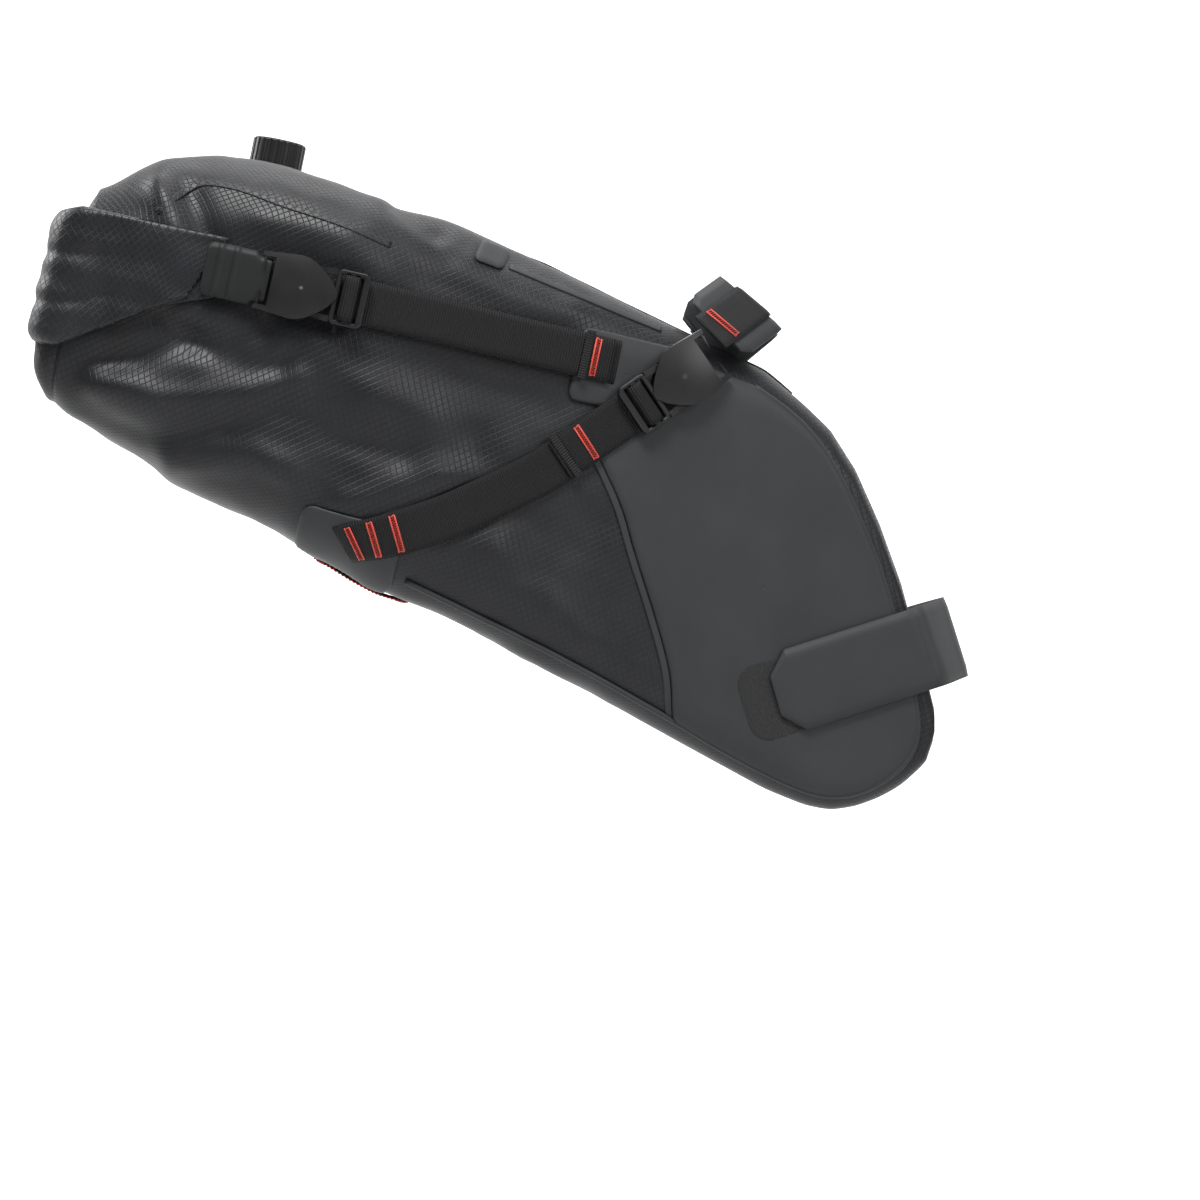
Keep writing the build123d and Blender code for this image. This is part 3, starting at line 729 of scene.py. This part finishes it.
def add_panels():
    nose = curve(NOSE_REAR, 40) + curve(NOSE_RIM, 90)[1:] + [(-104, 126), (-120, 118)]
    both(lambda side: patch_on_skin(f"nose_panel_cloth_{side}", nose, side, 0.1 * MM, 0.9 * MM, LAMINATE,
                                    rings=60), "nose_panel")
    both(lambda side: bead_on_skin(f"nose_rim_{side}", [(-236, 30), (-200, 12.5), (-160, -8)] + NOSE_RIM, side,
                                   1.25 * MM, 0.9 * MM, LAMINATE), "edge_piping")
    both(lambda side: patch_on_skin(f"upper_patch_{side}", rectangle(-138, 122, 46, 32, -12.6), side, 0, 0.7 * MM,
                                    LAMINATE), "upper_anchor_patch")
    both(lambda side: patch_on_skin(f"lower_patch_{side}", rectangle(-262, 44, 46, 28, -16, 5), side, 0, 0.7 * MM,
                                    LAMINATE), "lower_anchor_patch")
    both(lambda side: patch_on_skin(f"top_patch_cloth_{side}", rectangle(-198, 175, 13, 10, -20, 2), side, 0,
                                    0.6 * MM, LAMINATE, rings=8), "top_patch")
    seam = [(-345, 192), (-331, 204), (-324, 206), (-308, 203), (-290, 196), (-266, 188), (-242, 178)]
    for side in SIDES:
        strap_on_skin(f"top_seam_{side}", seam, side, -0.25 * MM, 3.0 * MM, 0.7 * MM, RIPSTOP)
        strap_on_skin(f"spine_edge_{side}", [(-190, 170), (-160, 158), (-122, 143)], side, -0.2 * MM, 4 * MM,
                      0.8 * MM, LAMINATE)
        strap_on_skin(f"nose_seam_{side}", [(x - 2.4, z) for x, z in NOSE_REAR], side, 0, 3.2 * MM, 0.9 * MM,
                      LAMINATE)


def bead_on_skin(name, path, side, radius, height, material):
    centre = [on_skin(x, z, side, height)[0] for x, z in curve(path, 170)]
    for _ in range(3):
        centre = eased(centre)
    return tube(name, centre, radius, material, "bag", 10)


# ---------------------------------------------------------------- webbing on the bag's sides
def add_side_straps():
    both(lambda side: strap_on_skin(f"roll_web_{side}", roll_line(1, 128), side, 0.8 * MM, WEB_W, WEB_T, WEBBING,
                                    90), "roll_strap")
    both(lambda side: strap_on_skin(f"roll_web_tail_{side}", roll_line(9, 125), side, 2.4 * MM, WEB_W, WEB_T,
                                    WEBBING, 90), "roll_tail")
    both(lambda side: strap_on_skin(f"compression_web_{side}", compression_line(), side, 0.9 * MM, WEB_W, WEB_T,
                                    WEBBING, 110), "compression_strap")
    both(lambda side: strap_on_skin(f"compression_web_tail_{side}",
                                    [from_mouth(RAIL_MOUTH, COMPRESSION_DOWN, -1, d) for d in (9, 23, 38, 52)],
                                    side, 2.5 * MM, WEB_W, WEB_T, WEBBING, 50), "compression_tail")


def tack(name, strap, left, size=17.0):
    """A zigzag bar of red thread across a strap, a distance in mm before its end."""
    centre, across, normals, thickness = STRAPS[strap]
    at = len(centre) - 1
    while left > 0 and at > 1:
        left -= (centre[at] - centre[at - 1]).length / MM
        at -= 1
    way = (centre[at + 1] - centre[at - 1]).normalized()
    base = centre[at] + normals[at] * (thickness / 2 + 0.3 * MM)

    def spot(t, along):
        return base + across[at] * (t * size * MM) + way * along * MM

    lines = [[spot(k / 30 - 0.5, 1.15 if k % 2 else -1.15) for k in range(31)]]
    lines += [[spot(t, edge) for t in (-0.5, 0, 0.5)] for edge in (-1.15, 1.15)]
    for k, line in enumerate(lines):
        thread = tube(f"{name}_{k}", line, 0.36 * MM, THREAD, "bag", 6)
        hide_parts("bar_tacks")


def add_tacks():
    for side in SIDES:
        for k, left in enumerate((6, 14.7, 24.6)):
            tack(f"anchor_tack_{side}_{k}", f"compression_web_{side}", left)
        tack(f"roll_tack_{side}", f"roll_web_tail_{side}", 7.5)
        tack(f"rail_tack_{side}", f"compression_web_tail_{side}", 14)


def add_strap_turns():
    """Webbing over the ladder locks' bars, which moves with them."""
    for kind, mouth, down in (("roll", ROLL_MOUTH, ROLL_DOWN), ("rail", RAIL_MOUTH, COMPRESSION_DOWN)):
        for side in SIDES:
            sign = SIDES[side]
            if kind == "roll":
                ahead, out = Vector((cos(down), 0, -sin(down))), Vector((0, sign, 0))
                base = Vector((mouth[0] * MM, sign * 87.2 * MM, mouth[1] * MM))
            else:
                size = sqrt(1 + TAPER * TAPER)
                taper = Vector((1, -sign * TAPER, 0)) / size
                out = Vector((TAPER, sign, 0)) / size
                ahead = taper * -cos(down) + Vector((0, 0, -sin(down)))
                wall = (21.5 + TAPER * (3 - mouth[0])) * MM
                base = Vector((mouth[0] * MM, sign * wall, mouth[1] * MM))
            path = [(13.4, 3.6), (11.6, 4.4), (10.4, 6.2), (9.6, 8.2), (7.2, 8.9), (4.8, 8.2), (4.0, 6.4),
                    (3.9, 4.5)]
            centre = spline([base + ahead * x * MM + out * h * MM for x, h in path], 36)
            across = [ahead.cross(out)] * 36
            made = ribbon(f"{kind}_web_turn_{side}", centre, across, WEB_W, 1.25 * MM, WEBBING,
                          f"{kind}_buckle_{side}")
            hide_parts(f"{kind}_strap_turn_{side}")


# ---------------------------------------------------------------- rail straps
def hanger(radius, outer, inner, side):
    """Centre line of a sheet over the rail, built from how far each point is down from the rail."""
    sign = SIDES[side]
    points = []
    for distance in (outer, outer * 0.66, outer * 0.33):
        points.append((-0.733 * radius + 0.68 * distance, -22 - 0.68 * radius - 0.733 * distance))
    for step in range(9):
        angle = radians(223 - (223 - 84) * step / 8)
        points.append((radius * cos(angle) * 1.0, -22 + radius * sin(angle)))
    for distance in (inner * 0.33, inner * 0.66, inner):
        points.append((-0.0995 * radius + 0.995 * distance, -22 + 0.995 * radius + 0.0995 * distance))
    centre = []
    for drop, y in points:
        centre.append(RAIL_POINT + RAIL_DROP * drop * MM + RAIL_WAY * -0.204 * drop * MM
                      + Vector((0, -sign * y * MM, 0)))
    return spline(centre, 70)


def add_rail_straps():
    for side in SIDES:
        line = hanger(4.6, 27, 22, side)
        scale = [min(1.0, 0.82 + 0.18 * min(k, 69 - k) / 6) for k in range(70)]
        pad = ribbon(f"rail_sleeve_{side}", line, [RAIL_WAY] * 70, 37 * MM, 2.1 * MM, LAMINATE, "bag",
                     scale)
        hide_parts(f"rail_pad_{side}")
        line = hanger(6.5, 35, 22, side)
        web = ribbon(f"rail_web_{side}", line, [RAIL_WAY] * 70, WEB_W, WEB_T, WEBBING, "bag")
        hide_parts(f"rail_webbing_{side}")
        threads = []
        for edge in (-1, 1):
            at = line[8 + (edge > 0) * 3]
            out = (line[10] - line[8]).normalized().cross(RAIL_WAY).normalized()
            out = out if out.y * SIDES[side] > 0 else -out
            ends = [at + RAIL_WAY * k * 8.5 * MM + out * 1.0 * MM for k in (-1, 0, 1)]
            threads.append(tube(f"rail_web_tack_{side}_{edge}", ends, 0.36 * MM, THREAD, "bag", 6))
        zig = []
        for k in range(31):
            at = line[8 + (k % 2) * 3]
            zig.append(at + RAIL_WAY * (k / 30 - 0.5) * 17 * MM + out * 1.0 * MM)
        tube(f"rail_web_zigzag_{side}", zig, 0.34 * MM, THREAD, "bag", 6)


# ---------------------------------------------------------------- seatpost strap
def strap_point(a, y):
    return POST_AHEAD * a * MM + Vector((0, y * MM, 0))


def nose_y(a, height):
    return 21.5 + TAPER * (3 - a * cos(radians(17.4))) + height


def add_seatpost_strap():
    up = POST_DOWN * -1
    near = [(a, -nose_y(a, 3.9)) for a in (-74, -60, -45, -30, -16, -8, -3)]
    front = [(14.6 * cos(t), 14.6 * sin(t)) for t in (radians(-34 + 34 * k / 5) for k in range(6))]
    line = spline([strap_point(a, y) for a, y in near + [(2.5, -nose_y(2.5, 2.6))] + front], 120)
    wall = Vector((TAPER, -1, 0)).normalized()
    across, scale = [], []
    travelled = 0.0
    for i, p in enumerate(line):
        way = (line[min(i + 1, 119)] - line[max(i - 1, 0)]).normalized()
        a = p.dot(POST_AHEAD) / MM
        flat = max(0.0, min(1.0, (4 - a) / 10))
        across.append((wall.cross(way).normalized() * -flat + up * (1 - flat)) if wall.cross(way).dot(up) < 0
                      else (wall.cross(way).normalized() * flat + up * (1 - flat)))
        travelled += (p - line[i - 1]).length / MM if i else 0
        scale.append(min(1.0, 0.48 + 0.52 * travelled / 10))
    strap = ribbon("seatpost_strap_near", line, across, 38 * MM, 1.9 * MM, LAMINATE, None, scale)
    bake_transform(strap)
    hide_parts("seatpost_flap")
    far_side = [(a, nose_y(a, 3.1)) for a in (-1, -8, -16, -30, -48)]
    round_ = [(14.6 * cos(t), 14.6 * sin(t)) for t in (radians(34 * k / 5) for k in range(6))]
    line = spline([strap_point(a, y) for a, y in round_ + [(4, nose_y(4, 0.6))] + far_side], 100)
    strap = ribbon("seatpost_strap_far", line, [up] * 100, 38 * MM, 1.9 * MM, LAMINATE, "bag")
    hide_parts("seatpost_strap")


def add_piles():
    """Loop patch on the nose, and the fuzz of its fibres."""
    turn = 17.4
    x, z = -54 * cos(radians(turn)), -54 * sin(radians(turn)) - 1
    outline = rectangle(x, z, 72, 35, turn, 9)
    patch = patch_on_skin("loop_pile", outline, "right", 0.9 * MM, 0.7 * MM, PILE, rings=40)
    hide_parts("loop_patch")
    points, faces, uvs = [], [], []
    for k in range(2600):
        fx = noise.cell(Vector((k * 1.37, 0.2, 0.1))) * 0.5 + 0.5
        fz = noise.cell(Vector((0.4, k * 1.71, 0.9))) * 0.5 + 0.5
        px, pz = (fx - 0.5) * 68, (fz - 0.5) * 32
        sx = x + px * cos(radians(turn)) - pz * sin(radians(turn))
        sz = z + px * sin(radians(turn)) + pz * cos(radians(turn))
        spot, normal = on_skin(sx, sz, "right", 1.5 * MM)
        lean = Vector(noise.noise_vector(Vector((k * 0.73, k * 0.31, 2)))) * 0.9
        tip = spot + (normal + lean).normalized() * (0.5 + 0.3 * fx) * MM
        side = normal.cross(lean).normalized() * 0.11 * MM
        base = len(points)
        points += [spot - side, spot + side, tip]
        faces.append((base, base + 1, base + 2))
        uvs += [(0, 0)] * 3
    fuzz = piece("loop_pile_fibres", points, faces, uvs, PILE, "bag")
    return fuzz


# ---------------------------------------------------------------- rolled closure
CLOSURE_AT = Vector((-386, 0, 164)) * MM


def closure_point(ahead, y, up):
    return CLOSURE_AT + ROLL_AHEAD * ahead * MM + Vector((0, y * MM, 0)) + SLIDE_UP * up * MM


def closure_low(ahead):
    """Lower edge of the closure at a distance ahead of its inner face."""
    if ahead < 2.6:
        return -31.0
    if ahead < 40:
        return -31 + 24 * (ahead - 2.6) / 37.4
    return -7 + 12.6 * (ahead - 40) / 31.6


def closure_path(reach, outer, back, corner, count=230):
    """Plan of the closure from its right wing's tip, round the rear, to the left wing's tip."""
    points = [(reach, -outer), (reach * 0.6, -outer), (back + corner + 6, -outer)]
    for k in range(9):
        angle = radians(270 - 90 * k / 8)
        points.append((back + corner + corner * cos(angle), -outer + corner + corner * sin(angle)))
    points += [(back, -30), (back, 0)]
    mirrored = [(a, -y) for a, y in reversed(points[:-1])]
    return resample([Vector((a, y, 0)) for a, y in points + mirrored], count)


def add_closure():
    rows, columns = 300, 64
    path = closure_path(61.0, 89.6, -6.5, 15, rows)
    points, uvs = [], []
    travelled = 0.0
    for i, p in enumerate(path):
        before, after = path[max(i - 1, 0)], path[min(i + 1, rows - 1)]
        way = (after - before).normalized()
        out = Vector((way.y, -way.x, 0)) * -1
        if out.dot(Vector((p.x - 40, p.y, 0))) < 0:
            out = -out
        if i:
            travelled += (p - path[i - 1]).length
        rear = max(0.0, min(1.0, (28 - p.x) / 30))
        thick = 2.4 + 8.6 * rear * rear
        low, high = closure_low(p.x), 32 - 2.5 * max(0, (2 - p.x) / 8.5)
        wing = max(0.0, min(1.0, (p.x - 35) / 26))
        for j in range(2 * columns):
            outer = j < columns
            t = j / (columns - 1) if outer else 1 - (j - columns) / (columns - 1)
            up = low + (high - low) * t
            edge = min(t, 1 - t) * (high - low)
            full = sqrt(max(0.0, 1 - max(0.0, 1 - edge / (thick * 0.7 + 0.6)) ** 2))
            puff = (0.5 * thick) * full * (1 if outer else -1)
            crease = 0.0
            if outer:
                crease = 1.1 * noise.noise(Vector((travelled / 26, up / 9, 1.7)))
                crease += 0.5 * noise.noise(Vector((travelled / 8, up / 14, 5.2)))
                crease -= 1.1 * rear * exp(-((t - 0.66) / 0.05) ** 2) + 0.9 * rear * exp(-((t - 0.3) / 0.05) ** 2)
            slant = (t - 0.5) * 14 * wing
            tooth = 1.1 * (abs((up / 3.2) % 1 - 0.5) * 2 - 0.5) * (1 if i in (0, rows - 1) else 0)
            ahead = p.x + out.x * (puff + crease) + (slant + tooth) * (1 if p.x > 0 else 0)
            y = p.y + out.y * (puff + crease * (1 if p.x < 60 else 0.4))
            points.append(closure_point(ahead, y, up))
            uvs.append((travelled * MM, up * MM * (1 if outer else -1)))
    count = 2 * columns
    faces = grid_faces(rows, count, closed=True)
    for row in (0, rows - 1):
        for j in range(columns - 1):
            a, b = row * count + j, row * count + j + 1
            c, d = row * count + count - 2 - j, row * count + count - 1 - j
            faces.append((a, b, c, d) if row else (d, c, b, a))
    roll = piece("rolled_top", points, faces, uvs, RIPSTOP, "closure")
    roll.data.flip_normals()
    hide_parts("closure_band")
    add_under_layer()
    add_gusset()


def add_under_layer():
    """The roll's inner layer, which shows ahead of the outer one on each wing."""
    for side in SIDES:
        sign = SIDES[side]
        points, uvs = [], []
        rows, columns = 12, 40
        for i in range(rows):
            for j in range(columns):
                t = j / (columns - 1)
                ahead = 40 + 33.5 * i / (rows - 1) + (t - 0.5) * 5
                up = closure_low(ahead) + 1.5 + (31 - closure_low(ahead) - 3) * t
                tooth = 1.0 * (abs((up / 3.2) % 1 - 0.5) * 2 - 0.5) if i == rows - 1 else 0
                points.append(closure_point(ahead + tooth, sign * 88.8, up))
                uvs.append((ahead * MM, up * MM))
        layer = piece(f"roll_inner_layer_{side}", points, grid_faces(rows, columns), uvs, RIPSTOP, "closure")
        layer.modifiers.new("thickness", "SOLIDIFY").thickness = 0.7 * MM


def add_gusset():
    """Cloth between the mouth and the roll: it bulges under the roll."""
    ring = BODY_ROWS[0]
    rings = 40
    points = []
    for k in range(rings):
        t = k / (rings - 1)
        for p in ring:
            local = p - CLOSURE_AT
            ahead, up, y = local.dot(ROLL_AHEAD) / MM, local.dot(SLIDE_UP) / MM, local.y / MM
            ease = t * t * (3 - 2 * t)
            bottom = max(0.0, min(1.0, (-up - 18) / 22))
            bulge = sin(pi * min(1.0, t * 1.1)) ** 0.8 * 8.5 * bottom if t < 0.909 else 0
            crumple = noise.noise(Vector((y / 16, up / 16, t * 3))) * 2.2 * sin(pi * t)
            back = ahead - 5.5 * ease - bulge * (0.85 + 0.15 * cos(y / 14)) + crumple
            rise = up * (1 - 0.62 * ease) - (2.0 * bottom * sin(pi * t))
            wide = y * (1 - 0.05 * ease)
            points.append(closure_point(back, wide, rise))
    uvs = lengths_uv([points[k * AROUND:(k + 1) * AROUND] for k in range(rings)])
    gusset = piece("roll_gusset", points, grid_faces(rings, AROUND, closed=True), uvs, RIPSTOP, None)
    gusset.data.flip_normals()
    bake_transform(gusset)


def add_closure_tabs():
    """Smooth tabs with two pressed ridges, from the roll's ends into the buckles."""
    for side in SIDES:
        base = Vector((ROLL_MOUTH[0] * MM, SIDES[side] * 87.2 * MM, ROLL_MOUTH[1] * MM))
        centre, scale = [], []
        for k in range(70):
            x = -58 + 29 * k / 69
            ridge = exp(-((x + 52) / 1.1) ** 2) + exp(-((x + 45) / 1.1) ** 2)
            centre.append(base + ROLL_AHEAD * x * MM + Vector((0, SIDES[side], 0)) * (5.2 + 0.7 * ridge) * MM)
            neck = max(0.0, min(1.0, (x + 37) / 3))
            scale.append(1 - 0.17 * neck * neck * (3 - 2 * neck) - 0.12 * max(0.0, (-55 - x) / 3) ** 2)
        tab = ribbon(f"roll_tab_{side}", centre, [SLIDE_UP] * 70, 24 * MM, 1.7 * MM, COATED, "closure",
                     scale)
        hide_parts(f"closure_tab_{side}")


# ---------------------------------------------------------------- small pieces of cloth and webbing
def add_keepers():
    for kind, mouth, down, forward, far in (("roll", ROLL_MOUTH, ROLL_DOWN, 1, 113),
                                            ("rail", RAIL_MOUTH, COMPRESSION_DOWN, -1, 49)):
        x, z = from_mouth(mouth, down, forward, far)
        path = [(x + k * forward * sin(down), z + k * cos(down)) for k in (-10.8, -5, 0, 5, 10.8)]
        for side in SIDES:
            loop = strap_on_skin(f"{kind}_keeper_{side}", path, side, 3.9 * MM, 4 * MM, 0.8 * MM, WEBBING,
                                 30)
            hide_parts("strap_keepers")


def from_below(x, y):
    hit, _, _, _ = SKIN.ray_cast(Vector((x * MM, y * MM, -0.3)), Vector((0, 0, 1)))
    return hit


def from_above(x, y):
    hit, _, _, _ = SKIN.ray_cast(Vector((x * MM, y * MM, 0.5)), Vector((0, 0, -1)))
    return hit


def add_accessory_loop():
    """Light loop under the floor, sewn down with red thread."""
    down = Vector((-0.5, 0, -0.866))
    count = 50
    centre = []
    for k in range(count):
        t = k / (count - 1)
        x = -280 + 42 * t
        centre.append(from_below(x, 0) + down * (0.9 + 1.4 * sin(pi * t) ** 0.7) * MM)
    across = [Vector((0, 1, 0))] * count
    loop = ribbon("light_loop", centre, across, WEB_W, 1.3 * MM, WEBBING, "bag")
    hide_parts("accessory_loop")
    for at in (2, count - 6):
        zigzag = [centre[at + (3 if k % 2 else 0)] + down * 0.8 * MM + Vector((0, (k / 30 - 0.5) * 17 * MM, 0))
                  for k in range(31)]
        tube(f"light_loop_tack_{at}", zigzag, 0.34 * MM, THREAD, "bag", 6)
    for side in SIDES:
        zigzag = [p + Vector((0, SIDES[side] * (10.2 if k % 2 else 9.0) * MM, 0))
                  + down * (0.2 if k % 2 else 0.8) * MM for k, p in enumerate(centre)]
        tube(f"light_loop_edge_{side}", zigzag, 0.34 * MM, THREAD, "bag", 6)


def add_spine_panel():
    """Smooth panel welded along the top, ahead of the valve."""
    rows, columns = 90, 24
    points, uvs = [], []
    for layer in (1.0, 0.1):
        for i in range(rows):
            t = i / (rows - 1)
            x = -195 + 133 * t
            half = 20 * min(1.0, 0.8 + 0.2 * min(t, 1 - t) / 0.04)
            for j in range(columns):
                y = half * (-1 + 2 * j / (columns - 1))
                spot = from_above(x, y)
                points.append(spot + Vector((0.45, 0, 0.89)) * layer * MM)
                uvs.append((x * MM, y * MM))
    faces = grid_faces(rows, columns)
    under = [tuple(v + rows * columns for v in reversed(face)) for face in faces]
    outline = ([j for j in range(columns)] + [i * columns + columns - 1 for i in range(1, rows)]
               + [(rows - 1) * columns + j for j in range(columns - 2, -1, -1)]
               + [i * columns for i in range(rows - 2, 0, -1)])
    rim = [(a, b, b + rows * columns, a + rows * columns) for a, b in zip(outline, outline[1:] + outline[:1])]
    panel = piece("spine_cloth", points, faces + under + rim, uvs, LAMINATE, "bag")
    mesh = bmesh.new()
    mesh.from_mesh(panel.data)
    bmesh.ops.recalc_face_normals(mesh, faces=mesh.faces)
    mesh.to_mesh(panel.data)
    mesh.free()
    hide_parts("spine_panel")


def add_hook_pad():
    line = spline([strap_point(a, -nose_y(a, 2.5)) for a in (-72, -60, -48, -36)], 40)
    wall = Vector((POST_AHEAD.x * TAPER, -1, 0)).normalized()
    across = [wall.cross((line[min(i + 1, 39)] - line[max(i - 1, 0)]).normalized()).normalized()
              for i in range(40)]
    pad = ribbon("hook_cloth", line, across, 32 * MM, 0.7 * MM, PILE, "seatpost_flap")
    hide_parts("hook_pad")


# ---------------------------------------------------------------- CAD nodes that show
def finish_cad_nodes():
    """Materials for the CAD nodes, and softened edges on the hard ones."""
    finishes = {"buckle": PLASTIC, "valve_plastic": PLASTIC, "stiffener": SHEET, "gasket": PLASTIC,
                "webbing": WEBBING, "tpu": LAMINATE, "ripstop": RIPSTOP, "thread": THREAD, "hook_loop": PILE}
    for entry in frame["record"]["subparts"]:
        node = frame["nodes"][entry["node"]]
        node.data.materials.clear()
        node.data.materials.append(finishes[entry["material_slot"]])
        if entry["material_slot"] in ("buckle", "valve_plastic"):
            bevel = node.modifiers.new("edges", "BEVEL")
            bevel.width = 0.35 * MM
            bevel.segments = 2
            bevel.limit_method = "ANGLE"
            bevel.harden_normals = False


add_camera()
add_stage()
add_panels()
add_side_straps()
add_tacks()
add_strap_turns()
add_rail_straps()
add_seatpost_strap()
add_piles()
add_closure()
add_closure_tabs()
add_keepers()
add_accessory_loop()
add_spine_panel()
add_hook_pad()
finish_cad_nodes()
